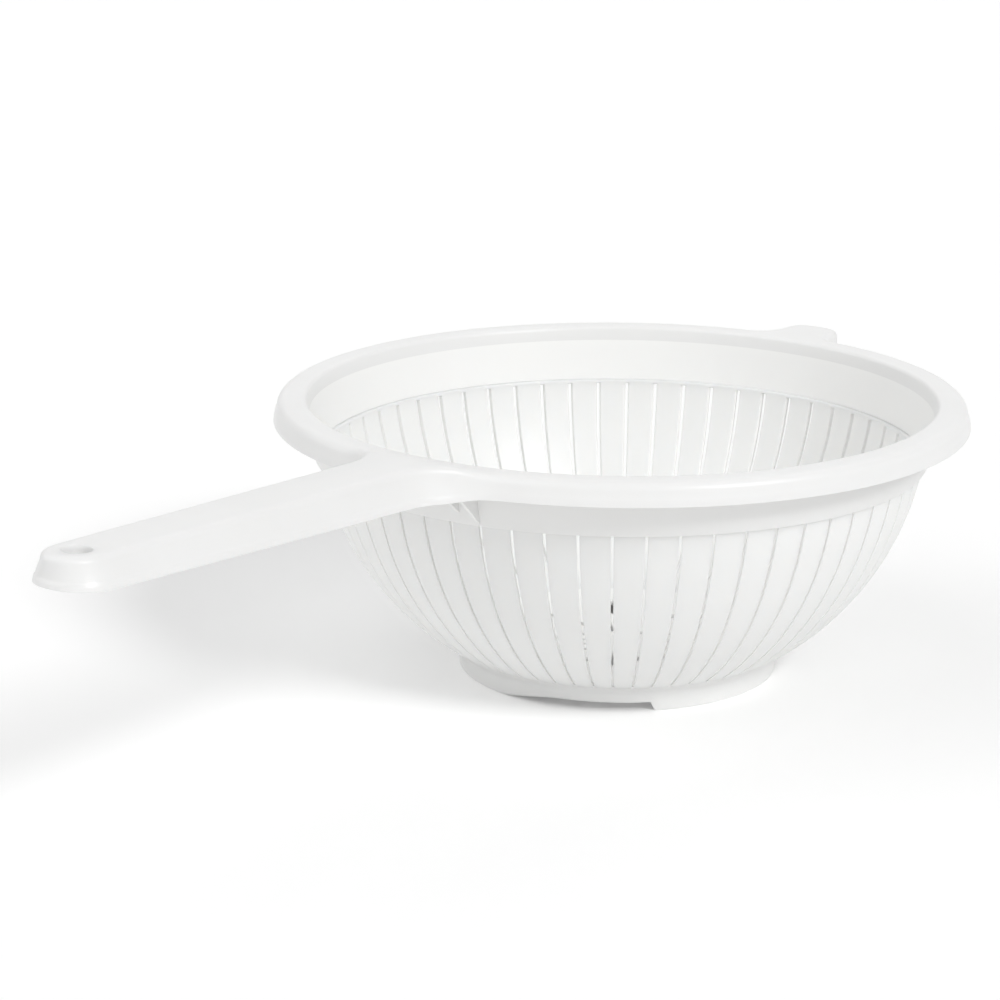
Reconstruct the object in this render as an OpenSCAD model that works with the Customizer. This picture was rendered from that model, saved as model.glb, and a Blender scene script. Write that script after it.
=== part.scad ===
// Handled strainer: one white plastic moulding, drawn as its named regions.
// The bowl's axis is Z, the table is Z = 0, and the handle runs out along +X.

/* [Bowl] */
// Outside diameter over the rim's lip
rim_d = 240; // [232:1:248]
// Height from the table to the top of the rim
bowl_h = 96.5; // [94:0.5:99]
// Width of the rim seen from above
rim_w = 11.7; // [11:0.1:12.5]
// Height of the rim's outer skirt
skirt_h = 7.6; // [6.6:0.2:8.6]
// Height of the small ledge where the slots end
ledge_z = 75.5; // [72:0.5:78]
// How far the ledge steps in
ledge_w = 1.4; // [1:0.1:1.8]
// Radius of the bowl's rounded side, seen in section
side_r = 97.8; // [97:0.2:99]
// Height of the centre of that radius
side_centre_z = 92.1; // [91.5:0.1:93]
// Thickness of the bowl's wall
wall_t = 1.5; // [1.3:0.1:1.8]
// Thickness of the rim, the handle's top and the floor
plate_t = 1.8; // [1.6:0.1:2.2]

/* [Slots] */
// Number of slots round the side
slot_count = 60; // [48:1:66]
// Width of a slot at its upper end
slot_top_w = 1.4; // [1:0.1:1.8]
// Width of a slot at its lower end
slot_low_w = 0.8; // [0.6:0.1:1.2]
// Height of the slots' lower ends
slot_low_z = 9.5; // [9.2:0.1:12]
// Turn of the first slot from the handle
slot_turn = 2; // [0:0.5:6]

/* [Floor] */
// Radius where the bowl's side turns into the flat floor
floor_r = 52; // [50:0.5:53]
// Number of drain slots in the outer ring, twice the inner ring's
drain_count = 30; // [24:2:36]
// Width of a drain slot
drain_w = 1.8; // [1.4:0.1:2.2]

/* [Foot] */
// Outside diameter of the foot ring on the table
foot_d = 111.5; // [111:0.5:114]
// Thickness of the foot ring
foot_t = 2; // [1.6:0.1:2.4]
// Number of feet
foot_count = 3; // [3:1:4]
// Angle that one foot takes up
foot_arc = 59; // [40:1:62]
// How far the ring is lifted between the feet
foot_lift = 3; // [2:0.1:3.5]
// Turn of the first foot from the handle
foot_turn = 74.7; // [0:0.1:119]

/* [Handle] */
// Distance from the bowl's axis to the handle's far end
handle_reach = 284.8; // [265:0.2:300]
// Width of the handle's top beside the bowl
handle_w = 22.4; // [20:0.2:24]
// Width of the handle's top at its far end
handle_end_w = 20.8; // [19:0.2:22]
// Depth of the handle beside the bowl
handle_depth = 11.5; // [10.5:0.1:12]
// Depth of the handle at its far end
handle_end_depth = 9.2; // [8.8:0.1:10]
// Angle at which the handle rises
handle_rise = 2.3; // [1.5:0.1:3]
// Radius of the fillets between handle and rim
root_fillet = 24; // [20:1:28]
// Width of the bead along the handle's lower edge
bead_w = 0.6; // [0.5:0.1:1.2]
// Thickness of the handle's side walls
handle_t = 2; // [1.8:0.1:2.4]
// Diameter of the hanging hole
hang_d = 9.5; // [8:0.5:11]
// Distance from the hanging hole's centre to the handle's far end
hang_from_end = 12.5; // [12:0.5:18]

/* [Rest tab] */
// Distance from the bowl's axis to the rest tab's edge
tab_reach = 137.5; // [132:0.5:140]
// Width of the rest tab
tab_w = 21; // [18:0.5:24]

/* [Hidden] */
$fn = 96;
rim_r = rim_d / 2;
rim_in_r = rim_r - rim_w;
skirt_z = bowl_h - skirt_h;
skirt_lean = 1.1;
shoulder_r = 3.2;
lip_r = 1.5;
under_z = bowl_h - plate_t;
// The band above the ledge leans in as it goes down
band_lean = 3.9;
band_out_r = rim_in_r - band_lean + wall_t;
wall_top_r = band_out_r - ledge_w - 0.2;
wall_top_z = ledge_z + 1.6;
side_centre_r = wall_top_r - sqrt(side_r ^ 2 - (side_centre_z - ledge_z) ^ 2);
floor_low_z = side_centre_z - sqrt(side_r ^ 2 - (floor_r - side_centre_r) ^ 2);
base_top_z = slot_low_z - 1;
// Height where the side's steep upper part meets its flatter lower part
wall_mid_z = 36;
// The handle and the tab take over from the rim outside this radius
joint_r = rim_r - 3;
foot_lean = 1;
// The handle's walls lean in as they rise, and its end leans further
draft = 2.2;
end_draft = 1.8;
end_lean = 0.9;
edge_r = 2.2;
bead_h = 1.9;
end_round = 11.4;
end_power = 2.15;
root_z = bowl_h + 2.7;
ramp_l = 10;
rib_t = 1.6;
gusset_ys = [-15, -8, 8, 15];
web_xs = [165, 200, 235];
web_up = 3;
collar_t = 1.8;
collar_h = 6;
hang_x = handle_reach - hang_from_end;
// Where the handle's flared root ends and where its far end starts
grip_x = rim_r + root_fillet;
end_x = hang_x - 20;
hollow_z = 60;
tab_fillet = 9;
tab_end_round = 4.8;
white = [0.95, 0.95, 0.94];
milky = [0.90, 0.91, 0.90];

function mix(a, b, t) = a + (b - a) * t;
function ease(t) = let (c = max(0, min(1, t))) c * c * (3 - 2 * c);

// How much a fillet of radius f widens a tongue of half width w at distance x
function flare(x, w, f) =
    let (centre_x = sqrt((rim_r + f) ^ 2 - (w + f) ^ 2))
    let (gap = max(0, centre_x - max(x, centre_x * rim_r / (rim_r + f))))
    f - sqrt(f ^ 2 - gap ^ 2);

// Half outline of a tongue seen from above: [x, half width] from the bowl to the far end
function tongue(w, w_end, reach, round_l, f, steps = 9) =
    let (centre_x = sqrt((rim_r + f) ^ 2 - (w + f) ^ 2))
    let (touch_x = centre_x * rim_r / (rim_r + f))
    let (straight = [for (k = [0 : 2]) mix(centre_x, reach - round_l, k / 2)])
    let (xs = concat([rim_r - 16], [for (k = [0 : steps - 1]) mix(touch_x, centre_x, k / steps)], straight))
    concat(
        [for (x = xs) [x, mix(w, w_end, (x - rim_r) / (reach - rim_r)) + flare(x, w, f)]],
        [for (k = [1 : 7]) [reach - round_l + round_l * sin(k * 12) ^ (2 / end_power),
            mix(w, w_end, 1 - round_l / (reach - rim_r)) * cos(k * 12) ^ (2 / end_power)]]);

// A solid stacked from levels, each [half outline, heights of its points]
module stacked(levels) {
    n = len(levels[0][0]);
    m = 2 * n;
    points = [for (level = levels, k = [0 : m - 1])
        let (j = k < n ? k : m - 1 - k)
        let (side = k < n ? -1 : 1)
        [level[0][j][0], side * level[0][j][1], level[1][j]]];
    top = (len(levels) - 1) * m;
    sides = [for (level = [0 : len(levels) - 2], k = [0 : m - 1])
        let (a = level * m + k)
        let (b = level * m + (k + 1) % m)
        each [[a, a + m, b + m], [a, b + m, b]]];
    caps = [for (j = [0 : n - 2])
        each [[j, j + 1, m - 2 - j], [j, m - 2 - j, m - 1 - j],
            [top + j, top + m - 2 - j, top + j + 1], [top + j, top + m - 1 - j, top + m - 2 - j]]];
    polyhedron(points, concat(sides, caps), convexity = 6);
}

// Heights along the handle's top and its lower edge
function handle_line(x) = root_z + (x - rim_r) * tan(handle_rise);
function handle_top(x) = mix(bowl_h, handle_line(x), ease((x - joint_r) / ramp_l));
function handle_low(x) =
    let (depth = mix(handle_depth, handle_end_depth, (x - rim_r) / (handle_reach - rim_r)))
    mix(skirt_z, handle_line(x) - depth, ease((x - joint_r) / ramp_l));

// Outline of the handle's wall at its lower edge, moved out by grow
function handle_foot(grow) = tongue(handle_w / 2 + draft + grow, handle_end_w / 2 + end_draft + grow,
    handle_reach - bead_w + grow, end_round + grow, root_fillet);
// Outline of the handle's top, moved out by grow
function handle_head(grow) = tongue(handle_w / 2 + grow, handle_end_w / 2 + grow,
    handle_reach - bead_w - end_lean + grow, max(end_round + grow, 2), root_fillet);

module handle_outside() {
    stacked([
        [handle_foot(0), [for (p = handle_foot(0)) handle_low(p[0])]],
        [handle_head(0), [for (p = handle_head(0)) handle_top(p[0]) - edge_r]],
        [handle_head(-0.3 * edge_r), [for (p = handle_head(0)) handle_top(p[0]) - 0.3 * edge_r]],
        [handle_head(-edge_r), [for (p = handle_head(0)) handle_top(p[0])]]]);
}

module handle_hollow() {
    stacked([
        [handle_foot(-handle_t), [for (p = handle_foot(0)) hollow_z]],
        [handle_foot(-handle_t), [for (p = handle_foot(0)) handle_low(p[0])]],
        [handle_head(-handle_t), [for (p = handle_head(0)) handle_top(p[0]) - plate_t]]]);
}

function tab_outline(grow) = tongue(tab_w / 2 + grow, tab_w / 2 - 1.2 + grow,
    tab_reach + grow, tab_end_round + grow, tab_fillet);

module tab_outside() {
    rotate([0, 0, 180])
        stacked([
            [tab_outline(0), [for (p = tab_outline(0)) skirt_z]],
            [tab_outline(-0.3), [for (p = tab_outline(0)) bowl_h - edge_r]],
            [tab_outline(-0.6 * edge_r), [for (p = tab_outline(0)) bowl_h - 0.3 * edge_r]],
            [tab_outline(-edge_r), [for (p = tab_outline(0)) bowl_h - 0.1]]]);
}

module tab_hollow() {
    rotate([0, 0, 180])
        stacked([
            [tab_outline(-plate_t), [for (p = tab_outline(0)) hollow_z]],
            [tab_outline(-plate_t - 0.3), [for (p = tab_outline(0)) under_z]]]);
}

module inside_joint() {
    translate([0, 0, hollow_z])
        cylinder(r = joint_r, h = bowl_h);
}

// Everything within the side's outer arc, as a flat shape in section
module side_disc(t) {
    translate([side_centre_r, side_centre_z])
        circle(r = side_r - t, $fn = 180);
}

// Section of the rim from outside: the skirt's lean, a round shoulder and a flat crown
module rim_section(t) {
    polygon(concat(
        [[rim_in_r + t, skirt_z - 1], [rim_in_r + t, bowl_h - lip_r - t]],
        [for (a = [180 : -30 : 90]) [rim_in_r + t + (lip_r - t / 2) * (1 + cos(a)),
            bowl_h - t - (lip_r - t / 2) * (1 - sin(a))]],
        [for (a = [90 : -15 : 15]) [rim_r - skirt_lean - shoulder_r + (shoulder_r - t) * cos(a),
            bowl_h - shoulder_r + (shoulder_r - t) * sin(a)]],
        [[rim_r - t, skirt_z], [rim_r - t, skirt_z - 1]]));
}

module rim() {
    color(white)
        difference() {
            rotate_extrude()
                intersection() {
                    difference() {
                        rim_section(0);
                        rim_section(plate_t);
                    }
                    union() {
                        translate([joint_r - 1, skirt_z])
                            square([rim_r, skirt_h + 1]);
                        translate([rim_in_r - 1, under_z])
                            square([rim_r, skirt_h + 1]);
                    }
                }
            difference() {
                union() {
                    handle_outside();
                    handle_hollow();
                    tab_outside();
                    tab_hollow();
                }
                inside_joint();
            }
        }
}

module upper_band() {
    color(milky)
        rotate_extrude()
            difference() {
                polygon([[wall_top_r - 1, ledge_z], [band_out_r, ledge_z], [rim_in_r + wall_t, under_z],
                    [rim_in_r, under_z], [wall_top_r + 0.25, wall_top_z], [wall_top_r - 1, wall_top_z]]);
                side_disc(0);
            }
}

// The curved side between two heights
module side_between(low_z, high_z) {
    rotate_extrude()
        intersection() {
            difference() {
                side_disc(0);
                side_disc(wall_t);
            }
            translate([floor_r, low_z])
                square([rim_r, high_z - low_z]);
        }
}

// The curved side between two heights with the slots cut through it
module slotted_side(low_z, high_z) {
    color(milky)
        difference() {
            side_between(low_z, high_z);
            for (k = [0 : slot_count - 1])
                rotate([90, 0, 90 + slot_turn + k * 360 / slot_count])
                    translate([0, 0, floor_r])
                        linear_extrude(rim_r - floor_r)
                            polygon([[-slot_low_w / 2, slot_low_z], [slot_low_w / 2, slot_low_z],
                                [slot_top_w / 2, wall_top_z + 1], [-slot_top_w / 2, wall_top_z + 1]]);
        }
}

module upper_wall() {
    slotted_side(wall_mid_z, wall_top_z);
}

module lower_wall() {
    slotted_side(base_top_z, wall_mid_z);
}

module bowl_base() {
    color(milky)
        side_between(0, base_top_z);
}

module drain_floor() {
    color(milky)
        difference() {
            translate([0, 0, floor_low_z])
                cylinder(r = floor_r, h = plate_t);
            for (k = [0 : drain_count - 1])
                rotate([0, 0, k * 360 / drain_count])
                    translate([0.62 * floor_r, -drain_w / 2, 0])
                        cube([0.3 * floor_r, drain_w, 20]);
            for (k = [0 : drain_count / 2 - 1])
                rotate([0, 0, (k + 0.25) * 720 / drain_count])
                    translate([0.22 * floor_r, -drain_w / 2, 0])
                        cube([0.3 * floor_r, drain_w, 20]);
        }
}

// The foot ring's wall between two heights, under the bowl's side
module foot_wall(low_z, high_z) {
    rotate_extrude()
        difference() {
            intersection() {
                polygon([[foot_d / 2 - foot_t, 0], [foot_d / 2, 0], [foot_d / 2 + foot_lean, 10],
                    [foot_d / 2 + foot_lean - foot_t, 10]]);
                translate([0, low_z])
                    square([rim_r, high_z - low_z]);
            }
            side_disc(0);
        }
}

module foot_ring() {
    color(milky)
        foot_wall(foot_lift, 10);
}

module foot_pads() {
    color(milky)
        intersection() {
            foot_wall(0, foot_lift);
            for (k = [0 : foot_count - 1])
                rotate([0, 0, foot_turn + k * 360 / foot_count])
                    linear_extrude(foot_lift)
                        polygon([[0, 0], [rim_r, -rim_r * tan(foot_arc / 2)], [rim_r, rim_r * tan(foot_arc / 2)]]);
        }
}

// The hollow handle between two distances from the bowl's axis
module handle_between(from_x, to_x) {
    color(white)
        intersection() {
            difference() {
                handle_outside();
                handle_hollow();
                inside_joint();
            }
            translate([from_x, -rim_r, hollow_z])
                cube([to_x - from_x, rim_d, bowl_h]);
        }
}

module handle_root() {
    handle_between(rim_in_r, grip_x);
}

module handle_grip() {
    handle_between(grip_x, end_x);
}

module handle_end() {
    color(white)
        difference() {
            handle_between(end_x, handle_reach);
            translate([hang_x, 0, hollow_z])
                cylinder(d = hang_d, h = bowl_h);
        }
}

module handle_bead() {
    color(white)
        difference() {
            stacked([
                [handle_foot(bead_w), [for (p = handle_foot(0)) handle_low(p[0])]],
                [handle_foot(bead_w), [for (p = handle_foot(0)) handle_low(p[0]) + bead_h]]]);
            handle_outside();
            handle_hollow();
            translate([0, 0, hollow_z])
                cylinder(r = rim_r + bead_w, h = bowl_h);
        }
}

module handle_webs() {
    color(white)
        intersection() {
            handle_hollow();
            for (x = web_xs)
                translate([x, -rim_r, handle_low(x) + web_up])
                    cube([rib_t, rim_d, handle_depth]);
        }
}

module hanging_collar() {
    color(white)
        intersection() {
            handle_hollow();
            translate([hang_x, 0, handle_top(hang_x) - plate_t - collar_h])
                difference() {
                    cylinder(d = hang_d + 2 * collar_t, h = collar_h + 2);
                    cylinder(d = hang_d, h = collar_h + 2);
                }
        }
}

module root_gussets() {
    color(white)
        difference() {
            intersection() {
                handle_hollow();
                for (y = gusset_ys)
                    translate([0, y + rib_t / 2, 0])
                        rotate([90, 0, 0])
                            linear_extrude(rib_t)
                                polygon([[band_out_r - 6, ledge_z + 1], [band_out_r, ledge_z + 1],
                                    [rim_r - 1, skirt_z], [rim_r + 5, skirt_z + 1], [rim_r + 5, root_z],
                                    [band_out_r - 6, root_z]]);
            }
            rotate_extrude()
                polygon([[0, 0], [band_out_r, 0], [band_out_r, ledge_z], [rim_in_r + wall_t, under_z],
                    [joint_r, under_z], [joint_r, root_z], [0, root_z]]);
        }
}

module rest_tab() {
    color(white)
        difference() {
            tab_outside();
            tab_hollow();
            inside_joint();
        }
}

rim();
upper_band();
upper_wall();
lower_wall();
bowl_base();
drain_floor();
foot_ring();
foot_pads();
handle_root();
handle_grip();
handle_end();
handle_bead();
handle_webs();
hanging_collar();
root_gussets();
rest_tab();
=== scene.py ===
# %% [markdown]
# # A white handled strainer
#
# The object is one plastic moulding: a slotted bowl with a rolled rim, a foot ring, a hollow handle and a
# small rest tab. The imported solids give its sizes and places. Here each visible part of the moulding is
# modelled again with soft edges and a plastic finish, in metres, in the same frame as the solids.

# %% Load the frame
import math

import bmesh
import bpy
from mathutils import Matrix, Vector


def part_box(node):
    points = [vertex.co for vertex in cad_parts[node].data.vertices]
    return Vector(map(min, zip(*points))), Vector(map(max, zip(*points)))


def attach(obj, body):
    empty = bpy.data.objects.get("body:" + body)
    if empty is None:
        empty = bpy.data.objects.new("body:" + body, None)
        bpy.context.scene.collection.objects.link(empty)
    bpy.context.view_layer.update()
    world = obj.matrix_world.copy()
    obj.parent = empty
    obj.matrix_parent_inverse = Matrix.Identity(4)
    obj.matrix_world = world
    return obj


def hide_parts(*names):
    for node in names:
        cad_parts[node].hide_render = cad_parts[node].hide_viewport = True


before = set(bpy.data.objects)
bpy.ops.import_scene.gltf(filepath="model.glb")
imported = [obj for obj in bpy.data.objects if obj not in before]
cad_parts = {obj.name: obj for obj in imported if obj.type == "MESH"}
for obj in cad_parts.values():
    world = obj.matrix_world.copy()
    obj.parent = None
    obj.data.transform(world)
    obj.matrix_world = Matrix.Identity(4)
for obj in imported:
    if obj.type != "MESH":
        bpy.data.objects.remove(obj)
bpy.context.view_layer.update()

# %% [markdown]
# The sizes are worked out in millimetres, as a maker would note them, and a finished piece is scaled to
# metres at the end. Outside sizes are read from the solids, so the looks always follow them.

# %% Sizes
MM = 0.001


def solid_box(node):
    low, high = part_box(node)
    return low / MM, high / MM


RIM_R = solid_box("rim")[1].y
BOWL_H = solid_box("rim")[1].z
SKIRT_Z = solid_box("rim")[0].z
BAND_LOW_Z = solid_box("upper_band")[0].z
BAND_OUT_R = RIM_R - 14.1
RIM_IN_R = RIM_R - 11.7
PLATE_T = 1.8
WALL_T = 1.5
UNDER_Z = BOWL_H - PLATE_T
FOOT_R = solid_box("foot_pads")[1].y - 0.3
FLOOR_R = solid_box("drain_floor")[1].x
FLOOR_LOW_Z = solid_box("drain_floor")[0].z
HANDLE_END_X = solid_box("handle_bead")[1].x
TAB_END_X = -solid_box("rest_tab")[0].x
TAB_LOW_Z = solid_box("rest_tab")[0].z
print("rim radius %.2f, height %.2f, handle end %.2f" % (RIM_R, BOWL_H, HANDLE_END_X))


def mix(a, b, t):
    return a + (b - a) * t


def ease(t):
    t = max(0.0, min(1.0, t))
    return t * t * (3 - 2 * t)


def polar(r, degrees, z=0.0):
    a = math.radians(degrees)
    return Vector((r * math.cos(a), r * math.sin(a), z))


# %% [markdown]
# Moulded white plastic is never one flat colour. The thick rim and handle look plain white and softly
# glossy. The thin bowl is milkier, because light soaks in and comes out again a few millimetres on. All
# three finishes share a recipe: a base colour that drifts a little, a satin roughness with faint wipe marks, a
# fine moulded grain and some subsurface light. Object coordinates are used, so the finish stays in place.
# The third finish is painted light: a paler copy of the plastic with less soak. It goes on surfaces that lie
# in shade, such as slot walls, the foot and the parts under the rim, so that they render lighter.

# %% Plastic finish
def plastic(name, colour, tint, roughness, soak, grain):
    material = bpy.data.materials.new(name)
    material.use_nodes = True
    nodes, links = material.node_tree.nodes, material.node_tree.links
    shader = nodes["Principled BSDF"]
    place = nodes.new("ShaderNodeTexCoord")

    def noise(scale, detail, stretch=(1, 1, 1)):
        spread = nodes.new("ShaderNodeMapping")
        spread.inputs["Scale"].default_value = stretch
        links.new(place.outputs["Object"], spread.inputs["Vector"])
        texture = nodes.new("ShaderNodeTexNoise")
        texture.inputs["Scale"].default_value = scale
        texture.inputs["Detail"].default_value = detail
        links.new(spread.outputs["Vector"], texture.inputs["Vector"])
        return texture.outputs["Fac"]

    def ramp(source, low, high, low_colour, high_colour):
        node = nodes.new("ShaderNodeValToRGB")
        node.color_ramp.elements[0].position = low
        node.color_ramp.elements[1].position = high
        node.color_ramp.elements[0].color = (*low_colour, 1)
        node.color_ramp.elements[1].color = (*high_colour, 1)
        links.new(source, node.inputs["Fac"])
        return node.outputs["Color"]

    drift = ramp(noise(14, 2), 0.35, 0.65, tint, colour)
    links.new(drift, shader.inputs["Base Color"])

    wipes = noise(60, 4, (1, 1, 0.25))
    satin = nodes.new("ShaderNodeMapRange")
    satin.inputs["From Min"].default_value = 0.3
    satin.inputs["From Max"].default_value = 0.7
    satin.inputs["To Min"].default_value = roughness - 0.05
    satin.inputs["To Max"].default_value = roughness + 0.07
    links.new(wipes, satin.inputs["Value"])
    links.new(satin.outputs["Result"], shader.inputs["Roughness"])

    fine = nodes.new("ShaderNodeBump")
    fine.inputs["Strength"].default_value = grain
    fine.inputs["Distance"].default_value = 0.00008
    links.new(noise(2200, 3), fine.inputs["Height"])
    sink = nodes.new("ShaderNodeBump")
    sink.inputs["Strength"].default_value = 0.25
    sink.inputs["Distance"].default_value = 0.0006
    links.new(noise(26, 1), sink.inputs["Height"])
    links.new(fine.outputs["Normal"], sink.inputs["Normal"])
    links.new(sink.outputs["Normal"], shader.inputs["Normal"])

    shader.inputs["Subsurface Weight"].default_value = soak
    shader.inputs["Subsurface Radius"].default_value = (1.0, 0.95, 0.9)
    shader.inputs["Subsurface Scale"].default_value = 0.004
    shader.inputs["Specular IOR Level"].default_value = 0.45
    shader.inputs["IOR"].default_value = 1.49
    return material


WHITE = plastic("white_plastic_finish", (0.845, 0.845, 0.84), (0.83, 0.83, 0.823), 0.34, 0.2, 0.25)
MILKY = plastic("milky_plastic_finish", (0.86, 0.865, 0.852), (0.847, 0.851, 0.838), 0.38, 0.9, 0.3)
# Painted light: a paler copy of the plastic, used where surfaces lie in shade so that they render lighter.
PALE_PAINTED_LIGHT = plastic("pale_painted_light_finish", (0.93, 0.93, 0.918), (0.92, 0.92, 0.907), 0.38, 0.2, 0.3)
print("finishes made:", WHITE.name, MILKY.name)

# %% [markdown]
# Every piece ends the same way: its bmesh is cleaned, scaled to metres and given smooth faces, its sharp
# edges get a small live bevel, it is told which body carries it, and the solids it stands for are hidden.


# %% Finish a piece
def make_piece(bm, name, material, stands_for, edge=0.3, angle=35, segments=2):
    bmesh.ops.remove_doubles(bm, verts=bm.verts, dist=0.0005)
    bmesh.ops.recalc_face_normals(bm, faces=bm.faces)
    bmesh.ops.scale(bm, vec=(MM, MM, MM), verts=bm.verts)
    open_edges = sum(1 for e in bm.edges if len(e.link_faces) != 2)
    mesh = bpy.data.meshes.new(name)
    bm.to_mesh(mesh)
    bm.free()
    mesh.shade_smooth()
    piece = bpy.data.objects.new(name, mesh)
    bpy.context.scene.collection.objects.link(piece)
    mesh.materials.append(material)
    if edge:
        soften = piece.modifiers.new("soft edges", "BEVEL")
        soften.width = edge * MM
        soften.segments = segments
        soften.limit_method = "ANGLE"
        soften.angle_limit = math.radians(angle)
        soften.harden_normals = True
    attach(piece, "root")
    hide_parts(*stands_for)
    print(name, len(mesh.vertices), "points,", len(mesh.polygons), "faces, open edges", open_edges)
    return piece


# %% [markdown]
# The curved side is cut by many equal slots, so one sector is enough: the wall's closed section is spun
# through a few degrees, the slot is opened in it, and the sector is spun round with copies. The section
# runs up the outside, round the top and down the inside, with the same number of points on both sides of
# the slot, so the opening's two edges can be bridged.

# %% Section of the bowl's wall
SLOT_COUNT = 60
SLOT_TURN = 2.0
SLOT_OUT_HALF = (0.25, 0.4)
SLOT_IN_HALF = (0.5, 0.85)
SLOT_LOW_Z = 9.5
SIDE_R = 97.8
SIDE_CENTRE_Z = 92.1
STAVE_TOP_Z = BAND_LOW_Z + 1.8
STAVE_TOP_R = BAND_OUT_R - 1.6
SLOT_TOP_Z = BAND_LOW_Z + 0.2
SIDE_CENTRE_R = STAVE_TOP_R - math.sqrt(SIDE_R ** 2 - (SIDE_CENTRE_Z - BAND_LOW_Z) ** 2)
BAND_LEAN = math.atan2(RIM_IN_R - STAVE_TOP_R - 0.2, UNDER_Z - STAVE_TOP_Z)
SIDE_ROWS = 26


def side_point(depth, z):
    r = SIDE_CENTRE_R + math.sqrt((SIDE_R - depth) ** 2 - (z - SIDE_CENTRE_Z) ** 2)
    return r, z


def side_angle(depth, z):
    return math.asin((SIDE_CENTRE_Z - z) / (SIDE_R - depth))


def side_rows(depth, low_z, high_z, count):
    low_a, high_a = side_angle(depth, low_z), side_angle(depth, high_z)
    rows = []
    for k in range(count):
        a = mix(low_a, high_a, k / (count - 1))
        rows.append((SIDE_CENTRE_R + (SIDE_R - depth) * math.cos(a), SIDE_CENTRE_Z - (SIDE_R - depth) * math.sin(a)))
    return rows


floor_top_z = FLOOR_LOW_Z + PLATE_T
base_out = [(FLOOR_R - 1.5, FLOOR_LOW_Z), (FLOOR_R + 0.4, FLOOR_LOW_Z + 0.05)]
base_out += side_rows(0, 5.9, SLOT_LOW_Z - 1.1, 4)
slot_out = side_rows(0, SLOT_LOW_Z, SLOT_TOP_Z, SIDE_ROWS)
slot_in = side_rows(WALL_T, SLOT_LOW_Z, SLOT_TOP_Z + 0.2, SIDE_ROWS)
stave_r, stave_z = slot_in[-1]
ledge = [side_point(0, STAVE_TOP_Z)]
ledge += [(stave_r + out, STAVE_TOP_Z - down) for out, down in ((1.0, 0.0), (0.45, 0.12), (0.15, 0.4), (0.04, 0.8))]
base_in = side_rows(WALL_T, 8.0, SLOT_LOW_Z - 0.7, 3)[::-1]
base_in += [(FLOOR_R + 0.6, floor_top_z + 0.25), (FLOOR_R - 0.6, floor_top_z), (FLOOR_R - 1.5, floor_top_z)]
section = base_out + slot_out + ledge + slot_in[::-1] + base_in
out_start = len(base_out)
out_end = out_start + SIDE_ROWS
in_start = out_end + len(ledge)
in_end = in_start + SIDE_ROWS
print("section points:", len(section), "rows beside the slot:", SIDE_ROWS)

# %% [markdown]
# The spin is made in three steps round the slot, because its edges need columns of their own. Then the
# columns beside the slot are moved to its real width. A slot narrows towards the floor and is wider inside
# than outside, so that the moulding comes off its core. It ends just under the ledge inside the bowl.


# %% One sector with its slot
def spin_section(points, start, spans):
    bm = bmesh.new()
    chain = [bm.verts.new(polar(r, start, z)) for r, z in points]
    ring = [bm.edges.new((chain[k], chain[(k + 1) % len(chain)])) for k in range(len(chain))]
    geom = chain + ring
    for angle, steps in spans:
        spun = bmesh.ops.spin(bm, geom=geom, cent=(0, 0, 0), axis=(0, 0, 1), angle=math.radians(angle),
                              steps=steps, use_merge=False, use_normal_flip=False, use_duplicate=False)
        geom = spun["geom_last"]
    return bm


def slot_half(halves, z):
    share = (z - SLOT_LOW_Z) / (SLOT_TOP_Z - SLOT_LOW_Z)
    return mix(halves[0], halves[1], max(0.0, min(1.0, share)))


def nearest_row(co):
    r = math.hypot(co.x, co.y)
    return min(range(len(section)), key=lambda k: (section[k][0] - r) ** 2 + (section[k][1] - co.z) ** 2)


def slot_row(row):
    return out_start <= row < out_end or in_start <= row < in_end


def open_slot(bm):
    row_of = {v: nearest_row(v.co) for v in bm.verts}
    beside = {v for v in bm.verts if abs(math.degrees(math.atan2(v.co.y, v.co.x))) < 0.6}
    for v in beside:
        r = math.hypot(v.co.x, v.co.y)
        halves = SLOT_OUT_HALF if row_of[v] < out_end else SLOT_IN_HALF
        a = math.copysign(math.asin(slot_half(halves, v.co.z) / r), v.co.y)
        v.co = (r * math.cos(a), r * math.sin(a), v.co.z)
    doomed = [f for f in bm.faces if all(v in beside and slot_row(row_of[v]) for v in f.verts)]
    bmesh.ops.delete(bm, geom=doomed, context="FACES")
    loose = [e for e in bm.edges if not e.link_faces]
    bmesh.ops.delete(bm, geom=loose, context="EDGES")
    edge_of_slot = [e for e in bm.edges if len(e.link_faces) == 1 and all(v in beside for v in e.verts)]
    for side in (-1, 1):
        bmesh.ops.bridge_loops(bm, edges=[e for e in edge_of_slot if all(v.co.y * side > 0 for v in e.verts)])
    across = [e for e in edge_of_slot if e.verts[0].co.y * e.verts[1].co.y < 0]
    for low in (True, False):
        bmesh.ops.bridge_loops(bm, edges=[e for e in across if (e.verts[0].co.z < BAND_LOW_Z / 2) == low])
    return len(doomed)


pitch = 360 / SLOT_COUNT
bowl = spin_section(section, -pitch / 2, [(pitch / 2 - 0.39, 4), (0.78, 1), (pitch / 2 - 0.39, 4)])
opened = open_slot(bowl)
print("sector faces:", len(bowl.faces), "opened", opened)

# %% Copies of the sector round the bowl
bmesh.ops.rotate(bowl, verts=bowl.verts, cent=(0, 0, 0), matrix=Matrix.Rotation(math.radians(SLOT_TURN), 3, "Z"))
bmesh.ops.spin(bowl, geom=bowl.verts[:] + bowl.edges[:] + bowl.faces[:], cent=(0, 0, 0), axis=(0, 0, 1),
               angle=math.radians(360 - pitch), steps=SLOT_COUNT - 1, use_duplicate=True)
bowl_wall = make_piece(bowl, "bowl_wall", MILKY,
                       ["upper_wall", "lower_wall", "bowl_base"], edge=0.35)
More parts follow.
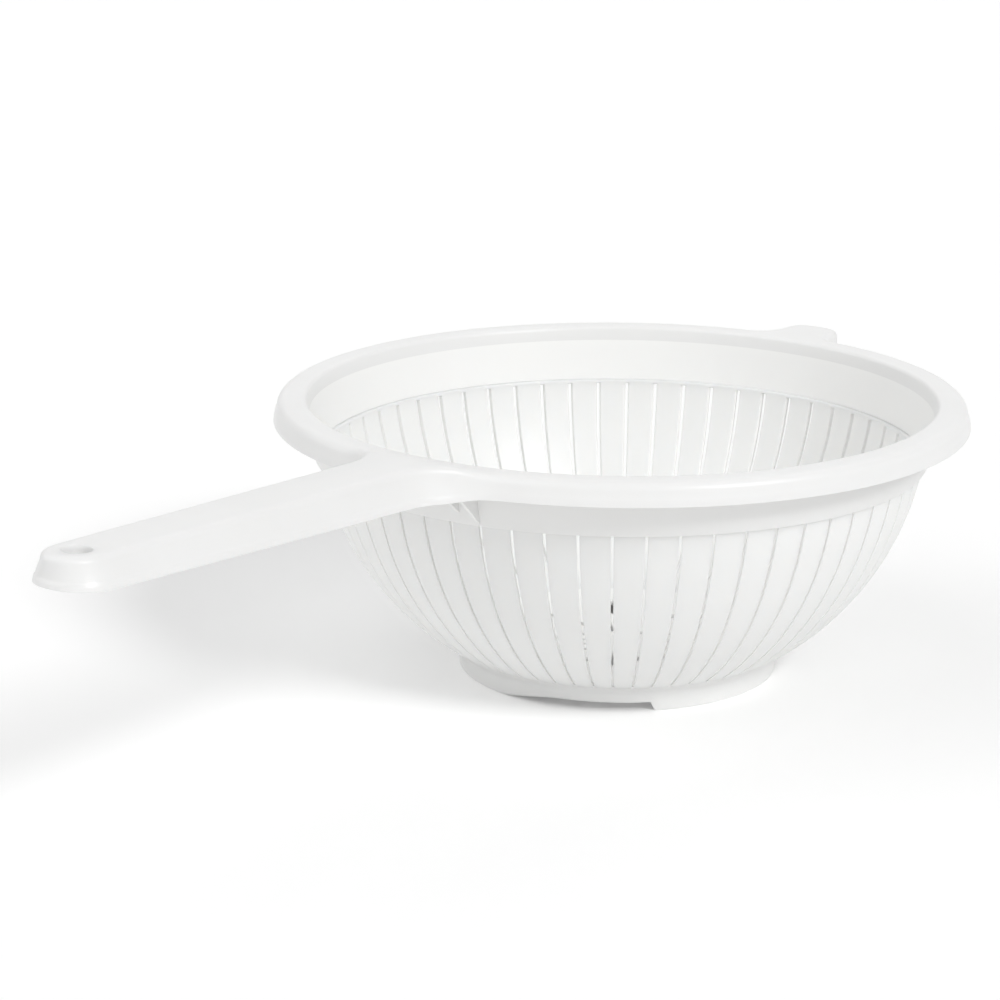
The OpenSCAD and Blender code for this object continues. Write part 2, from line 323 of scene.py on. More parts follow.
# Painted light: the slots' side walls and the strip below the slots lie in shade and take the paler copy, so they
# render lighter.
bowl_wall.data.materials.append(PALE_PAINTED_LIGHT)
for face in bowl_wall.data.polygons:
    round_way = Vector((-face.center.y, face.center.x, 0)).normalized()
    if abs(face.normal.dot(round_way)) > 0.7 or face.center.z / MM < SLOT_LOW_Z - 0.5:
        face.material_index = 1
print("pale faces of the side:", sum(1 for face in bowl_wall.data.polygons if face.material_index == 1))

# %% [markdown]
# The drain floor is a flat plate inside the foot ring. Its outline and its slots are drawn as closed
# loops in one plane, filled, and extruded to the plate's thickness.

# %% Drain floor
DRAIN_HALF = 0.9
DRAIN_RINGS = ((30, 0.0, 32.2, 47.8), (15, 6.0, 11.4, 27.0))


def closed_loop(bm, points):
    ring = [bm.verts.new(p) for p in points]
    return [bm.edges.new((ring[k], ring[(k + 1) % len(ring)])) for k in range(len(ring))]


def slot_loop(turn, from_r, to_r, half):
    points = []
    for k in range(7):
        a = math.radians(-90 + k * 30)
        points.append(Vector((to_r - half + half * math.cos(a), half * math.sin(a), 0)))
    for k in range(7):
        a = math.radians(90 + k * 30)
        points.append(Vector((from_r + half + half * math.cos(a), half * math.sin(a), 0)))
    return [Matrix.Rotation(math.radians(turn), 3, "Z") @ p for p in points]


plate = bmesh.new()
plate_edges = closed_loop(plate, [polar(FLOOR_R - 1.5, k * 2) for k in range(180)])
for count, turn, from_r, to_r in DRAIN_RINGS:
    for k in range(count):
        plate_edges += closed_loop(plate, slot_loop(turn + k * 360 / count, from_r, to_r, DRAIN_HALF))
bmesh.ops.triangle_fill(plate, use_beauty=True, use_dissolve=False, edges=plate_edges, normal=(0, 0, 1))
raised = bmesh.ops.extrude_face_region(plate, geom=plate.faces[:])
lifted = [g for g in raised["geom"] if isinstance(g, bmesh.types.BMVert)]
bmesh.ops.translate(plate, verts=lifted, vec=(0, 0, PLATE_T))
bmesh.ops.translate(plate, verts=plate.verts, vec=(0, 0, FLOOR_LOW_Z))
# Painted light: the plate lies in shade at the bowl's bottom and takes the paler copy of the plastic, so it renders
# lighter.
drain_plate = make_piece(plate, "drain_plate", PALE_PAINTED_LIGHT, ["drain_floor"], edge=0.3)

# %% [markdown]
# The foot is a short ring under the bowl. Between its three feet the lower edge is lifted: it steps up
# sharply at one end of a foot and comes down slowly towards the next. The ring is spun, and then its
# lower points are moved to the height that the edge has at their angle.

# %% Foot ring
FOOT_COUNT = 3
FOOT_STEP = 45.2
FOOT_ARC = 59.0
FOOT_RISE_ARC = 30.0
FOOT_LIFT = 3.0
FOOT_T = 2.0


def foot_edge(degrees):
    at = (degrees - FOOT_STEP) % (360 / FOOT_COUNT)
    if at < FOOT_ARC:
        return 0.0
    rise = (at - FOOT_ARC) / FOOT_RISE_ARC
    return FOOT_LIFT * ease(rise)


foot_section = [(FOOT_R, 0.0), (FOOT_R + 0.3, 3.4), (FOOT_R + 0.6, 5.2), (FOOT_R + 1.1, 6.5)]
foot_section += [(FOOT_R + 2.0, 7.6), (FOOT_R + 3.2, 8.5)]
foot_section += [(side_point(0, z)[0] + out, z) for z, out in ((9.3, 0.02), (10.1, -0.05), (10.9, -0.12))]
foot_section.append((FOOT_R + 4.4, 10.0))
foot_section += [(FOOT_R - FOOT_T + 0.4, 7.2), (FOOT_R - FOOT_T + 0.1, 3.4), (FOOT_R - FOOT_T, 0.0)]
foot_bm = bmesh.new()
foot_chain = [foot_bm.verts.new(polar(r, 0, z)) for r, z in foot_section]
foot_ring = [foot_bm.edges.new((foot_chain[k], foot_chain[(k + 1) % len(foot_chain)])) for k in range(len(foot_chain))]
bmesh.ops.spin(foot_bm, geom=foot_chain + foot_ring, cent=(0, 0, 0), axis=(0, 0, 1), angle=math.radians(360),
               steps=240, use_merge=True)
for v in foot_bm.verts:
    if v.co.z < 3.5:
        edge_z = foot_edge(math.degrees(math.atan2(v.co.y, v.co.x)))
        v.co.z = edge_z if v.co.z < 0.1 else max(v.co.z, edge_z + 0.4)
# Painted light: the foot lies in the bowl's shade and takes the paler copy of the plastic, so it renders lighter.
foot = make_piece(foot_bm, "foot", PALE_PAINTED_LIGHT, ["foot_ring", "foot_pads"], edge=0.25)

# %% [markdown]
# Rim, handle and rest tab are one skin with no seam, so they are made together. A tongue, the handle or
# the tab, leaves the round rim through a fillet, runs straight and ends in a rounded end. Its outline is
# a formula that can be moved inwards evenly, because the moulding's edge is a stack of such outlines.


# %% Outline of a tongue
class Tongue:
    """Half the outline of a tongue along +X, as stations from the rim to its end's corner."""

    def __init__(self, turn, half, end_half, reach, fillet, end_len, power, top, low, across, fillet_steps, xs,
                 flat_in, corner_steps, corner_to):
        self.turn, self.reach, self.fillet, self.end_len = turn, reach, fillet, end_len
        self.half, self.end_half, self.top, self.low = half, end_half, top, low
        self.across, self.fillet_steps, self.corner_steps = across, fillet_steps, corner_steps
        self.centre_y = half + fillet
        self.centre_x = math.sqrt((RIM_R + fillet) ** 2 - self.centre_y ** 2)
        self.touch = math.degrees(math.atan2(self.centre_y, self.centre_x))
        self.power = power
        self.xs = [self.centre_x + x for x in xs]
        self.rows = fillet_steps + len(self.xs) + corner_steps
        # The flat's own outline: stations keep their place on the rounded end at every other level
        self.flat_start, self.flat_length = self.corner(flat_in)
        past = max(0.0, (self.xs[-1] - self.flat_start) / self.flat_length)
        self.corner_from = math.asin(past ** (power / 2))
        self.corner_to = math.radians(corner_to)

    def corner(self, end_inset):
        """Where the rounded end starts and how long it is."""
        length = self.end_len - 0.3 * end_inset
        return self.reach - end_inset - length, length

    def half_at(self, x):
        return mix(self.half, self.end_half, (x - self.centre_x) / (self.reach - self.centre_x))

    def station(self, k, level):
        """Plan position of a station on the +Y side, and how much it belongs to the tongue."""
        if k <= self.fillet_steps:
            t = k / self.fillet_steps
            share = ease(t)
            inset = mix(level.rim_in, level.side_in, share)
            a = math.radians(mix(-180 + self.touch, -90, t))
            r = self.fillet + inset
            return self.centre_x + r * math.cos(a), self.centre_y + r * math.sin(a), share
        inset = level.side_in
        start, length = self.corner(level.side_in + level.end_in)
        j = k - self.fillet_steps - 1
        if j >= len(self.xs):
            t = (j - len(self.xs) + 1) / self.corner_steps
            return self.end_point(mix(self.corner_from, self.corner_to, t), start, length, inset)
        x = self.xs[j]
        past = (x - self.flat_start) / self.flat_length
        if past > 0:
            return self.end_point(math.asin(past ** (self.power / 2)), start, length, inset)
        long_way = self.flat_start - self.centre_x
        x += (start - self.flat_start) * ease((x - self.flat_start) / (0.4 * long_way) + 1)
        return x, self.half_at(x) - inset, 1.0

    def end_point(self, q, start, length, inset):
        bow = 2 / self.power
        half = self.half_at(start) - inset
        return start + length * math.sin(q) ** bow, half * math.cos(q) ** bow, 1.0

    def height(self, x, y, share, level):
        off = mix(level.rim_off, level.side_off, share)
        return self.low(x, share) + off if level.from_low else self.top(x, y) - off

    def to_place(self, x, y, z):
        return Matrix.Rotation(math.radians(self.turn), 3, "Z") @ Vector((x, y, z))

    def rail(self, level):
        return [self.station(k, level) for k in range(self.rows)]

    def end(self, level):
        inset = level.side_in
        start, length = self.corner(level.side_in + level.end_in)
        half_way = self.across // 2
        points = []
        for k in range(1, half_way):
            points.append(self.end_point(mix(self.corner_to, math.pi / 2, k / half_way), start, length, inset))
        tip = [self.end_point(math.radians(90), start, length, inset)]
        back = [(x, -y, s) for x, y, s in reversed(points)]
        return points + tip + back

    def chain(self, level):
        """The whole outline from the rim on the +Y side round the end to the rim on the -Y side."""
        rail = self.rail(level)
        across = [(x, -y, s) for x, y, s in reversed(rail)]
        return [self.to_place(x, y, self.height(x, y, s, level)) for x, y, s in rail + self.end(level) + across]


# %% [markdown]
# A level is one outline of that stack: how far it stands in from the outermost edge on the rim, on the
# tongue's side and at its end, and how far it lies above the lower edge or below the top. The outer skin
# climbs from the lower edge over the bead and the leaning wall to the round shoulder.


# %% Levels of the skins
class Level:
    def __init__(self, from_low, rim_in, rim_off, side_in, side_off, end_in=0.0):
        self.from_low, self.rim_in, self.rim_off = from_low, rim_in, rim_off
        self.side_in, self.side_off, self.end_in = side_in, side_off, end_in


SKIRT_LEAN = 1.1
SHOULDER_R = 3.2
BEAD_W = 0.6
BEAD_H = 1.9
DRAFT = 2.2
EDGE_R = 2.2
END_LEAN = 0.9
ARC_STEPS = 6
FLAT_AT = 84


def shoulder(rim_in, rim_r, side_in, side_r, end_in, flat_at=90):
    levels = []
    for k in range(ARC_STEPS + 1):
        a, b = math.radians(90 * k / ARC_STEPS), math.radians(flat_at * k / ARC_STEPS)
        levels.append(Level(False, rim_in + rim_r * (1 - math.cos(a)), rim_r * (1 - math.sin(a)),
                            side_in + side_r * (1 - math.cos(b)), side_r * (1 - math.sin(b)), end_in))
    return levels


handle_outer = [Level(True, 0, 0, 0, 0), Level(True, 0.1, 1.0, 0.16, BEAD_H * 0.5),
                Level(True, 0.25, 1.8, 0.34, BEAD_H), Level(True, 0.32, 2.1, BEAD_W, BEAD_H + 0.35, 0.1),
                Level(True, 0.4, 2.5, BEAD_W + 0.2, BEAD_H + 0.9, 0.0)]
handle_outer += shoulder(SKIRT_LEAN, SHOULDER_R, BEAD_W + DRAFT, EDGE_R, END_LEAN - DRAFT, FLAT_AT)
handle_inner = [Level(True, 1.8, 0, BEAD_W + 1.8, 0), Level(True, 2.1, 2.5, BEAD_W + 2.2, 2.5, -0.2),
                Level(False, 2.9, PLATE_T + 0.8, BEAD_W + DRAFT + 1.6, PLATE_T + 0.8, END_LEAN - DRAFT),
                Level(False, 3.9, PLATE_T, BEAD_W + DRAFT + 2.4, PLATE_T, END_LEAN - DRAFT)]
tab_outer = [Level(True, 0, 0, 0, 0), Level(True, 0.1, 1.0, 0.05, 0.6), Level(True, 0.25, 1.8, 0.1, 1.2),
             Level(True, 0.32, 2.1, 0.13, 1.5), Level(True, 0.4, 2.5, 0.18, 2.0)]
tab_outer += shoulder(SKIRT_LEAN, SHOULDER_R, 0.3, 2.2, 0)
tab_inner = [Level(True, 1.8, 0, 1.7, 0), Level(True, 2.1, 2.5, 1.8, 1.2),
             Level(False, 2.9, PLATE_T + 0.8, 2.0, PLATE_T + 0.6), Level(False, 3.9, PLATE_T, 2.6, PLATE_T)]
print("levels outside", len(handle_outer), "inside", len(handle_inner))

# %% [markdown]
# The handle leaves the rim level with it, swells up over a short ramp and rises gently to its end. The
# tab stays level with the rim and is less deep. The stations along the handle lie close together round
# the hanging hole, so a round hole fits into their grid.

# %% Handle and tab outlines
HANDLE_RISE = math.tan(math.radians(2.3))
ROOT_Z = BOWL_H + 2.7
RAMP_FROM = RIM_R - 3
RAMP_LEN = 10
SWELL_FROM = RIM_R - 11
SWELL_LEN = 15
SWELL_HALF = 16
SWELL_FADE = 18
HANDLE_DEPTH = 11.5
HANDLE_END_DEPTH = 9.2
HANDLE_FILLET = 24
HOLE_X = HANDLE_END_X - 11.8
HOLE_R = 4.3
HOLE_CELLS = 16
HOLE_REACH = 6.4
HANDLE_ACROSS = 20
HANDLE_END_LEN = 12.0
HANDLE_POWER = 2.15


def handle_line(x):
    return ROOT_Z + (x - RIM_R) * HANDLE_RISE


def handle_top(x, y):
    swell = ease((x - SWELL_FROM) / SWELL_LEN) * (1 - ease((abs(y) - SWELL_HALF) / SWELL_FADE))
    return mix(BOWL_H, handle_line(x), swell)


def handle_low(x, share):
    depth = mix(HANDLE_DEPTH, HANDLE_END_DEPTH, (x - RIM_R) / (HANDLE_END_X - RIM_R))
    return mix(SKIRT_Z, handle_line(x) - depth, ease((x - RAMP_FROM) / RAMP_LEN))


def tab_top(x, y):
    return BOWL_H


def tab_low(x, share):
    return mix(SKIRT_Z, TAB_LOW_Z, share)


handle_half = 11.2 + DRAFT + BEAD_W
handle_centre_x = math.sqrt((RIM_R + HANDLE_FILLET) ** 2 - (handle_half + HANDLE_FILLET) ** 2)
hole_from = HOLE_X - HOLE_REACH - handle_centre_x
long_xs = [hole_from * k / 20 for k in range(1, 20)]
hole_xs = [hole_from + 2 * HOLE_REACH * k / HOLE_CELLS for k in range(HOLE_CELLS + 1)]
handle_flat = handle_outer[-1]
handle = Tongue(0, handle_half, 10.4 + 1.8 + BEAD_W, HANDLE_END_X, HANDLE_FILLET, HANDLE_END_LEN, HANDLE_POWER,
                handle_top, handle_low, HANDLE_ACROSS, 14, long_xs + hole_xs,
                handle_flat.side_in + handle_flat.end_in, 1, 55)
tab = Tongue(180, 10.6, 9.4, TAB_END_X, 9, 4.8, 2.5, tab_top, tab_low, 12, 10, [0.6, 1.5], 2.5, 3, 45)
print("handle rows", handle.rows, "touch", round(handle.touch, 2), "tab rows", tab.rows, round(tab.touch, 2))

# %% [markdown]
# One level of the skirt is a closed loop: the handle's outline, a stretch of rim, the tab's outline and
# the other stretch of rim. The skirt starts as the lowest loop and is extruded level by level, each new
# loop moved to its place. The crown starts as the loop where the shoulder ends and is extruded inwards.

# %% Skirt and crown
RIM_STEPS = 110


def on_rim(r, degrees, z):
    """A point of the rim; near the handle its top follows the handle's swell."""
    p = polar(r, degrees, z)
    if z > UNDER_Z - 2:
        p.z += handle_top(p.x, p.y) - BOWL_H
    return p


def rim_stretch(from_deg, to_deg, r, z, steps=RIM_STEPS):
    return [on_rim(r, mix(from_deg, to_deg, k / steps), z) for k in range(1, steps)]


def skirt_loop(handle_level, tab_level):
    r = RIM_R - handle_level.rim_in
    z = SKIRT_Z + handle_level.rim_off if handle_level.from_low else BOWL_H - handle_level.rim_off
    points = handle.chain(handle_level)
    points += rim_stretch(-handle.touch, -180 + tab.touch, r, z)
    points += tab.chain(tab_level)
    points += rim_stretch(180 - tab.touch, handle.touch, r, z)
    return points


def crown_loop(r, z):
    points = [on_rim(r, mix(handle.touch, -handle.touch, k / handle.across), z) for k in range(handle.across + 1)]
    points += rim_stretch(-handle.touch, -180 + tab.touch, r, z)
    points += [on_rim(r, mix(-180 + tab.touch, -180 - tab.touch, k / tab.across), z) for k in range(tab.across + 1)]
    points += rim_stretch(180 - tab.touch, handle.touch, r, z)
    return points


def stack_loops(bm, loops):
    """Extrudes a closed loop through the others and returns the first and the last loop's edges."""
    edges = closed_loop(bm, loops[0])
    first = edges
    verts = [e.verts[0] for e in edges]
    for points in loops[1:]:
        made = bmesh.ops.extrude_edge_only(bm, edges=edges)["geom"]
        new_verts = [g for g in made if isinstance(g, bmesh.types.BMVert)]
        new_edges = [g for g in made if isinstance(g, bmesh.types.BMEdge)]
        partner = {}
        for v in new_verts:
            for e in v.link_edges:
                other = e.other_vert(v)
                if other not in new_verts:
                    partner[other] = v
        verts = [partner[v] for v in verts]
        for v, p in zip(verts, points):
            v.co = p
        edges = [e for e in new_edges if e.verts[0] in new_verts and e.verts[1] in new_verts]
    return first, edges


# %% [markdown]
# The tongue's flat top closes the gap between crown and shoulder. It is a grid: one side lies on the
# crown's arc, the two long sides on the shoulder, and the far side on the rounded end.


# %% Flat of a tongue
def camber(tongue, x, y):
    """How far the handle's top stands above its two edges, more near the root than near the end."""
    level = handle_flat
    start, length = tongue.flat_start, tongue.flat_length
    across = abs(y) / (tongue.half_at(min(x, start)) - level.side_in)
    along = max(0.0, (x - start) / length)
    out = min(1.0, (across ** tongue.power + along ** tongue.power) ** (1 / tongue.power))
    high = 0.2 + 0.35 * ease((215 - x) / 60)
    return high * (1 - out * out) * ease((x - SWELL_FROM) / 20)


def tongue_flat(bm, tongue, level, crown_r, hole=None):
    rail = tongue.rail(level)
    end = [tongue.station(tongue.rows - 1, level)] + tongue.end(level)
    end.append((end[0][0], -end[0][1], 1.0))
    rows, cols = tongue.rows, tongue.across
    grid = bmesh.ops.create_grid(bm, x_segments=rows, y_segments=cols, size=0.5)["verts"]
    sag = crown_r * (1 - math.cos(math.radians(tongue.touch)))
    tip = end[cols // 2][0] - end[0][0]
    last = rows - 1
    index = {}
    for v in grid:
        j, c = round((v.co.x + 0.5) * rows), round((v.co.y + 0.5) * cols)
        index[v] = (j, c)
        t = c / cols
        bow = 1 - (2 * t - 1) ** 2
        if j == 0:
            p = polar(crown_r, mix(tongue.touch, -tongue.touch, t))
            x, y, share = p.x, p.y, 0.0
        elif j == rows:
            x, y, share = end[c]
        else:
            x, y, share = rail[j]
            fade = 1 - ease(j / tongue.fillet_steps)
            late = ease((j - last + 6) / 7)
            x += bow * (sag * fade + tip * late)
            y *= 1 - 2 * t
        z = tongue.height(x, y, share, level)
        if tongue is handle and 0 < j < rows and 0 < c < cols:
            z += camber(tongue, x, y)
        v.co = tongue.to_place(x, y, z)
    return cut_hole(bm, tongue, level, index, hole) if hole else []


def cut_hole(bm, tongue, level, index, hole):
    first = tongue.fillet_steps + 1 + len(long_xs)
    side = (tongue.across - HOLE_CELLS) // 2
    inside = {v for v, (j, c) in index.items()
              if first <= j <= first + HOLE_CELLS and side <= c <= tongue.across - side}
    doomed = [f for f in bm.faces if all(v in inside for v in f.verts)]
    edge_count = {}
    for f in doomed:
        for e in f.edges:
            edge_count[e] = edge_count.get(e, 0) + 1
    rim_edges = [e for e, n in edge_count.items() if n == 1]
    bmesh.ops.delete(bm, geom=doomed, context="FACES_KEEP_BOUNDARY")
    edges = rim_edges
    for r, drop in hole:
        made = bmesh.ops.extrude_edge_only(bm, edges=edges)["geom"]
        edges = [g for g in made if isinstance(g, bmesh.types.BMEdge)]
        new_verts = [g for g in made if isinstance(g, bmesh.types.BMVert)]
        edges = [e for e in edges if e.verts[0] in new_verts and e.verts[1] in new_verts]
        for v in new_verts:
            a = math.atan2(v.co.y, v.co.x - HOLE_X)
            x = HOLE_X + r * math.cos(a)
            y = r * math.sin(a)
            v.co = (x, y, tongue.height(x, y, 1.0, level) + camber(tongue, x, y) - drop)
    loose = [v for v in inside if v.is_valid and not v.link_faces]
    bmesh.ops.delete(bm, geom=loose, context="VERTS")
    return edges


moulding = bmesh.new()
skirt_out = [skirt_loop(a, b) for a, b in zip(handle_outer, tab_outer)]
crown_r_out = RIM_R - handle_outer[-1].rim_in
LIP_R = 1.7
BAND_STEPS = (0.2, 0.45, 0.75, 1.0)
lip = [(RIM_IN_R + 3.6, BOWL_H), (RIM_IN_R + LIP_R + 0.4, BOWL_H - 0.01)]
for k in range(1, 8):
    a = math.radians(90 - (90 - math.degrees(BAND_LEAN)) * k / 7)
    lip.append((RIM_IN_R + LIP_R * (1 - math.cos(a)), BOWL_H - LIP_R * (1 - math.sin(a))))
lip_end = lip[-1]
band_foot = (STAVE_TOP_R + 0.2, STAVE_TOP_Z)
lip += [(mix(lip_end[0], band_foot[0], t), mix(lip_end[1], band_foot[1], t)) for t in BAND_STEPS]
lip.append((STAVE_TOP_R - 0.2, BAND_LOW_Z + 0.1))
crown_out = [crown_loop(crown_r_out, BOWL_H)] + [crown_loop(r, z) for r, z in lip]
low_out, _ = stack_loops(moulding, skirt_out)
_, lip_edges = stack_loops(moulding, crown_out)
hole_above = tongue_flat(moulding, handle, handle_outer[-1], crown_r_out,
                         [(HOLE_R + 0.8, 0), (HOLE_R + 0.24, 0.24), (HOLE_R, 0.8), (HOLE_R, PLATE_T - 0.4)])
tongue_flat(moulding, tab, tab_outer[-1], crown_r_out)
print("outer skin faces:", len(moulding.faces))

# %% Inner skin and the edges that join the two
skirt_in = [skirt_loop(a, b) for a, b in zip(handle_inner, tab_inner)]
crown_r_in = RIM_R - handle_inner[-1].rim_in
back = [(RIM_IN_R + WALL_T + 1.2, UNDER_Z), (RIM_IN_R + WALL_T + 0.3, UNDER_Z - 0.4)]
back += [(mix(RIM_IN_R + WALL_T, BAND_OUT_R, t), mix(UNDER_Z - 1.3, BAND_LOW_Z + 0.5, t)) for t in (0.0, 0.3, 0.7, 1.0)]
back.append((BAND_OUT_R - 0.35, BAND_LOW_Z))
crown_in = [crown_loop(crown_r_in, UNDER_Z)] + [crown_loop(r, z) for r, z in back]
low_in, _ = stack_loops(moulding, skirt_in)
_, under_edges = stack_loops(moulding, crown_in)
hole_below = tongue_flat(moulding, handle, handle_inner[-1], crown_r_in, [(HOLE_R, 0)])
tongue_flat(moulding, tab, tab_inner[-1], crown_r_in)
bmesh.ops.bridge_loops(moulding, edges=hole_above + hole_below)
bmesh.ops.bridge_loops(moulding, edges=low_out + low_in)
bmesh.ops.bridge_loops(moulding, edges=lip_edges + under_edges)
rim_moulding = make_piece(moulding, "rim_handle_moulding", WHITE,
                          ["rim", "upper_band", "handle_root", "handle_grip", "handle_end", "handle_bead", "rest_tab"],
                          edge=0.35, angle=40)
# Partly real, partly painted light: the thin band under the rim is milky plastic, and it takes the paler copy, lighter
# than the milky finish, because it lies in the rim's shade.
rim_moulding.data.materials.append(PALE_PAINTED_LIGHT)
for face in rim_moulding.data.polygons:
    middle = face.center / MM
    if middle.z < UNDER_Z - 1.4 and math.hypot(middle.x, middle.y) < RIM_IN_R + WALL_T + 0.3:
        face.material_index = 1
print("thin band faces:", sum(1 for face in rim_moulding.data.polygons if face.material_index == 1))

# %% [markdown]
# Under the handle thin plates stiffen the moulding: four gussets between the band and the handle's root,
# and three webs across its hollow. Each is a flat outline extruded to its thickness. A short collar
# strengthens the hanging hole from below.

# %% Plates and collar
PLATE_W = 1.6
GUSSET_YS = (-15, -8, 8, 15)
WEB_XS = (165, 200, 235)


def plate_piece(bm, points, thickness):
    """A flat outline extruded by its thickness, half to each side."""
    normal = (points[1] - points[0]).cross(points[2] - points[1]).normalized()
    loop = [bm.verts.new(p - normal * thickness / 2) for p in points]
    face = bm.faces.new(loop)
    made = bmesh.ops.extrude_face_region(bm, geom=[face])
    verts = [g for g in made["geom"] if isinstance(g, bmesh.types.BMVert)]
    bmesh.ops.translate(bm, verts=verts, vec=normal * thickness)


gusset_bm = bmesh.new()
for y in GUSSET_YS:
    foot_z = BAND_LOW_Z + (3.4 if abs(y) < 10 else 0.9)
    outline = [(BAND_OUT_R - 0.6, foot_z), (BAND_OUT_R + 0.2, foot_z), (RIM_R - 1.3, SKIRT_Z + 0.4),
               (RIM_R + 3.5, SKIRT_Z + 0.3), (RIM_R + 3.5, UNDER_Z + 0.9), (RIM_IN_R + 0.8, UNDER_Z + 0.6)]
    plate_piece(gusset_bm, [Vector((x - (y * y) / (2 * RIM_R), y, z)) for x, z in outline], PLATE_W)
# Painted light: the gussets lie in shade under the handle's root and take the paler copy of the plastic, so they render
# lighter.
gussets = make_piece(gusset_bm, "gussets", PALE_PAINTED_LIGHT, ["root_gussets"], edge=0.25)

web_bm = bmesh.new()
for x in WEB_XS:
    half = handle.half_at(x) - BEAD_W - 1.6
    low, high = handle_low(x, 1) + 3, handle_top(x, 0) - 0.8
    corners = [(-half, low), (half, low), (half - DRAFT, high), (-half + DRAFT, high)]
    plate_piece(web_bm, [Vector((x + PLATE_W / 2, y, z)) for y, z in corners], PLATE_W)
webs = make_piece(web_bm, "webs", WHITE, ["handle_webs"], edge=0.25)

collar_bm = bmesh.new()
collar_top = handle_top(HOLE_X, 0) - PLATE_T
collar_section = [(HOLE_R, collar_top + 0.6), (HOLE_R + 1.8, collar_top + 0.6), (HOLE_R + 1.8, collar_top - 6),
                  (HOLE_R, collar_top - 6)]
ring = [collar_bm.verts.new((HOLE_X + r, 0, z)) for r, z in collar_section]
ring_edges = [collar_bm.edges.new((ring[k], ring[(k + 1) % 4])) for k in range(4)]
bmesh.ops.spin(collar_bm, geom=ring + ring_edges, cent=(HOLE_X, 0, 0), axis=(0, 0, 1), angle=math.radians(360),
               steps=56, use_merge=True)
collar = make_piece(collar_bm, "collar", WHITE, ["hanging_collar"], edge=0.25)

# %% [markdown]
# The floor is a plain pale sheet, and its colour makes it nearly white. The small rest is there only where
# the sheet is seen, straight or in a shiny face. It lights nothing, and the object's shadow stays on it.


# %% Floor and background
def seen_rays(nodes, links):
    """1 for the camera's rays and for those that a shiny or clear surface sends on, 0 for all others."""
    path = nodes.new("ShaderNodeLightPath")
    mirrored = nodes.new("ShaderNodeMath")
    mirrored.operation = "MAXIMUM"
    links.new(path.outputs["Is Glossy Ray"], mirrored.inputs[0])
    links.new(path.outputs["Is Transmission Ray"], mirrored.inputs[1])
    seen = nodes.new("ShaderNodeMath")
    seen.operation = "MAXIMUM"
    links.new(path.outputs["Is Camera Ray"], seen.inputs[0])
    links.new(mirrored.outputs[0], seen.inputs[1])
    return seen.outputs[0]


def white_sheet(name, colour, lift):
    """A pale matt sheet. Its lift is seen, straight or mirrored, and lights nothing."""
    material = bpy.data.materials.new(name)
    material.use_nodes = True
    nodes, links = material.node_tree.nodes, material.node_tree.links
    nodes.clear()
    diffuse = nodes.new("ShaderNodeBsdfDiffuse")
    diffuse.inputs["Color"].default_value = (*colour, 1)
    level = nodes.new("ShaderNodeMath")
    level.operation = "MULTIPLY"
    level.inputs[1].default_value = lift
    links.new(seen_rays(nodes, links), level.inputs[0])
    glow = nodes.new("ShaderNodeEmission")
    links.new(level.outputs[0], glow.inputs["Strength"])
    both = nodes.new("ShaderNodeAddShader")
    out = nodes.new("ShaderNodeOutputMaterial")
    links.new(diffuse.outputs[0], both.inputs[0])
    links.new(glow.outputs[0], both.inputs[1])
    links.new(both.outputs[0], out.inputs["Surface"])
    return material


floor_bm = bmesh.new()
bmesh.ops.create_circle(floor_bm, cap_ends=True, segments=64, radius=6.0)
floor_mesh = bpy.data.meshes.new("table")
floor_bm.to_mesh(floor_mesh)
floor_bm.free()
table_sheet = bpy.data.objects.new("table", floor_mesh)
bpy.context.scene.collection.objects.link(table_sheet)
floor_mesh.materials.append(white_sheet("table_white", (0.93, 0.93, 0.93), 0.14))

world = bpy.data.worlds.new("studio")
bpy.context.scene.world = world
world.use_nodes = True
sky_nodes, sky_links = world.node_tree.nodes, world.node_tree.links
sky_nodes.clear()
SKY_LIGHT = 0.33
sky = sky_nodes.new("ShaderNodeBackground")
sky.inputs["Color"].default_value = (1, 1, 1, 1)
sky_level = sky_nodes.new("ShaderNodeMapRange")
sky_level.inputs["To Min"].default_value = SKY_LIGHT
sky_level.inputs["To Max"].default_value = 1.0
sky_out = sky_nodes.new("ShaderNodeOutputWorld")
sky_links.new(seen_rays(sky_nodes, sky_links), sky_level.inputs["Value"])
sky_links.new(sky_level.outputs["Result"], sky.inputs["Strength"])
sky_links.new(sky.outputs[0], sky_out.inputs["Surface"])
print("floor and background made")

# %% [markdown]
# The camera stands where the photograph's camera stood: its distance, height and turn were found from
# the rim, the slots and the handle. Large soft lamps stand round it; the brighter one is on the right.

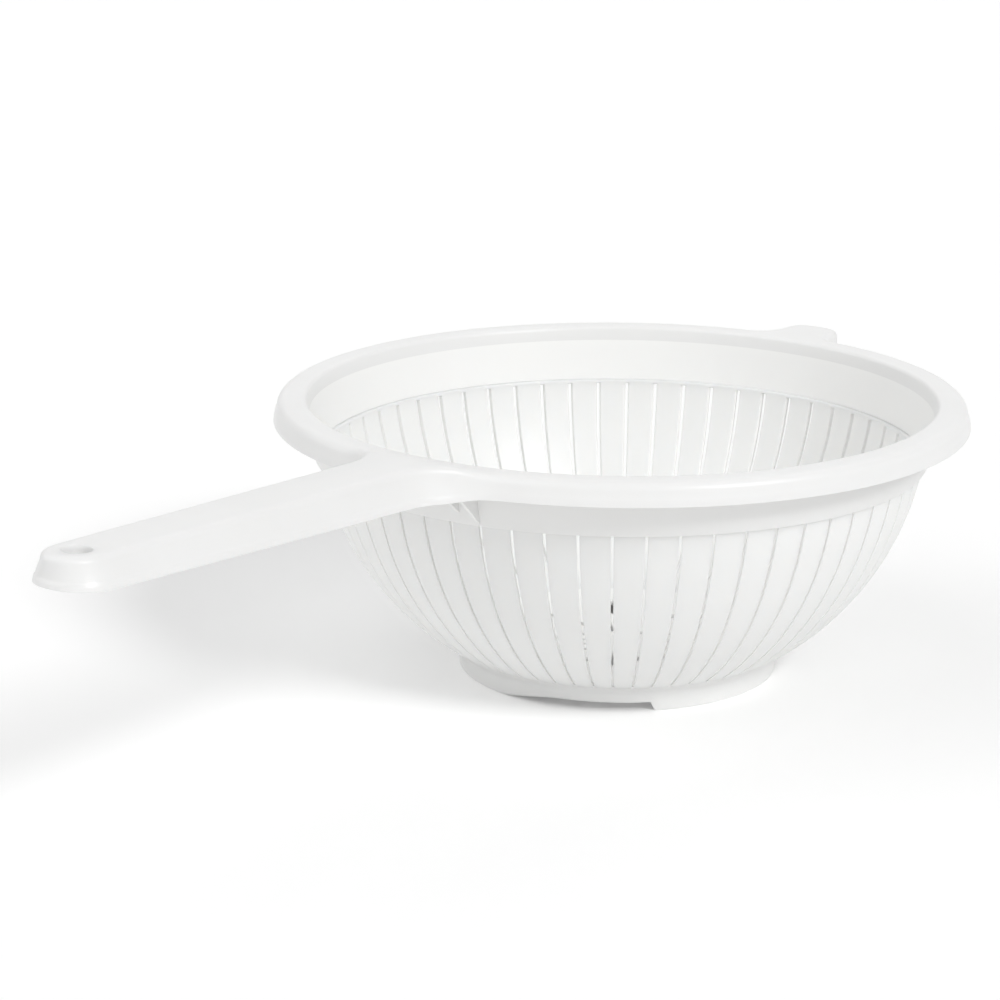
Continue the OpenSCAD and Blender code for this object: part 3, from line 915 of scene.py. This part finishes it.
# %% Camera and lamps
AIM_Z = 0.05
CAMERA_DISTANCE = 1.0854
CAMERA_ELEVATION = 15.905
CAMERA_AZIMUTH = 33.16
CAMERA_YAW = 2.29
CAMERA_PITCH = 15.50
CAMERA_ROLL = 0.21
FOCAL_MM = 3102.4 * 36 / 1000

camera_data = bpy.data.cameras.new("camera")
camera_data.sensor_width = 36
camera_data.lens = FOCAL_MM
camera = bpy.data.objects.new("camera", camera_data)
bpy.context.scene.collection.objects.link(camera)
bpy.context.scene.camera = camera
flat = CAMERA_DISTANCE * math.cos(math.radians(CAMERA_ELEVATION))
camera.location = polar(flat, CAMERA_AZIMUTH, AIM_Z + CAMERA_DISTANCE * math.sin(math.radians(CAMERA_ELEVATION)))
heading = Matrix.Rotation(math.radians(CAMERA_AZIMUTH + 90 + CAMERA_YAW), 4, "Z")
tilt = Matrix.Rotation(math.radians(90 - CAMERA_PITCH), 4, "X")
roll = Matrix.Rotation(math.radians(CAMERA_ROLL), 4, "Z")
camera.matrix_world = Matrix.Translation(camera.location) @ heading @ tilt @ roll
print("camera right", (heading @ tilt @ roll).to_3x3() @ Vector((1, 0, 0)))


def soft_lamp(name, azimuth, elevation, spread, strength):
    """A wide, far lamp: it lights the whole table evenly, and its shadows are soft."""
    lamp = bpy.data.lights.new(name, "SUN")
    lamp.angle = math.radians(spread)
    lamp.energy = strength
    lamp_object = bpy.data.objects.new(name, lamp)
    bpy.context.scene.collection.objects.link(lamp_object)
    towards = polar(math.cos(math.radians(elevation)), CAMERA_AZIMUTH + azimuth, math.sin(math.radians(elevation)))
    lamp_object.location = towards
    lamp_object.rotation_euler = towards.to_track_quat("Z", "Y").to_euler()


soft_lamp("key", 44.5, 38, 20, 1.58)
soft_lamp("left", -70, 55, 60, 0.48)
soft_lamp("low_left", -95, 28, 50, 0.48)
soft_lamp("front", -10, 8, 50, 0.36)
soft_lamp("back", 180, 50, 60, 0.32)

scene = bpy.context.scene
scene.view_settings.view_transform = "Standard"
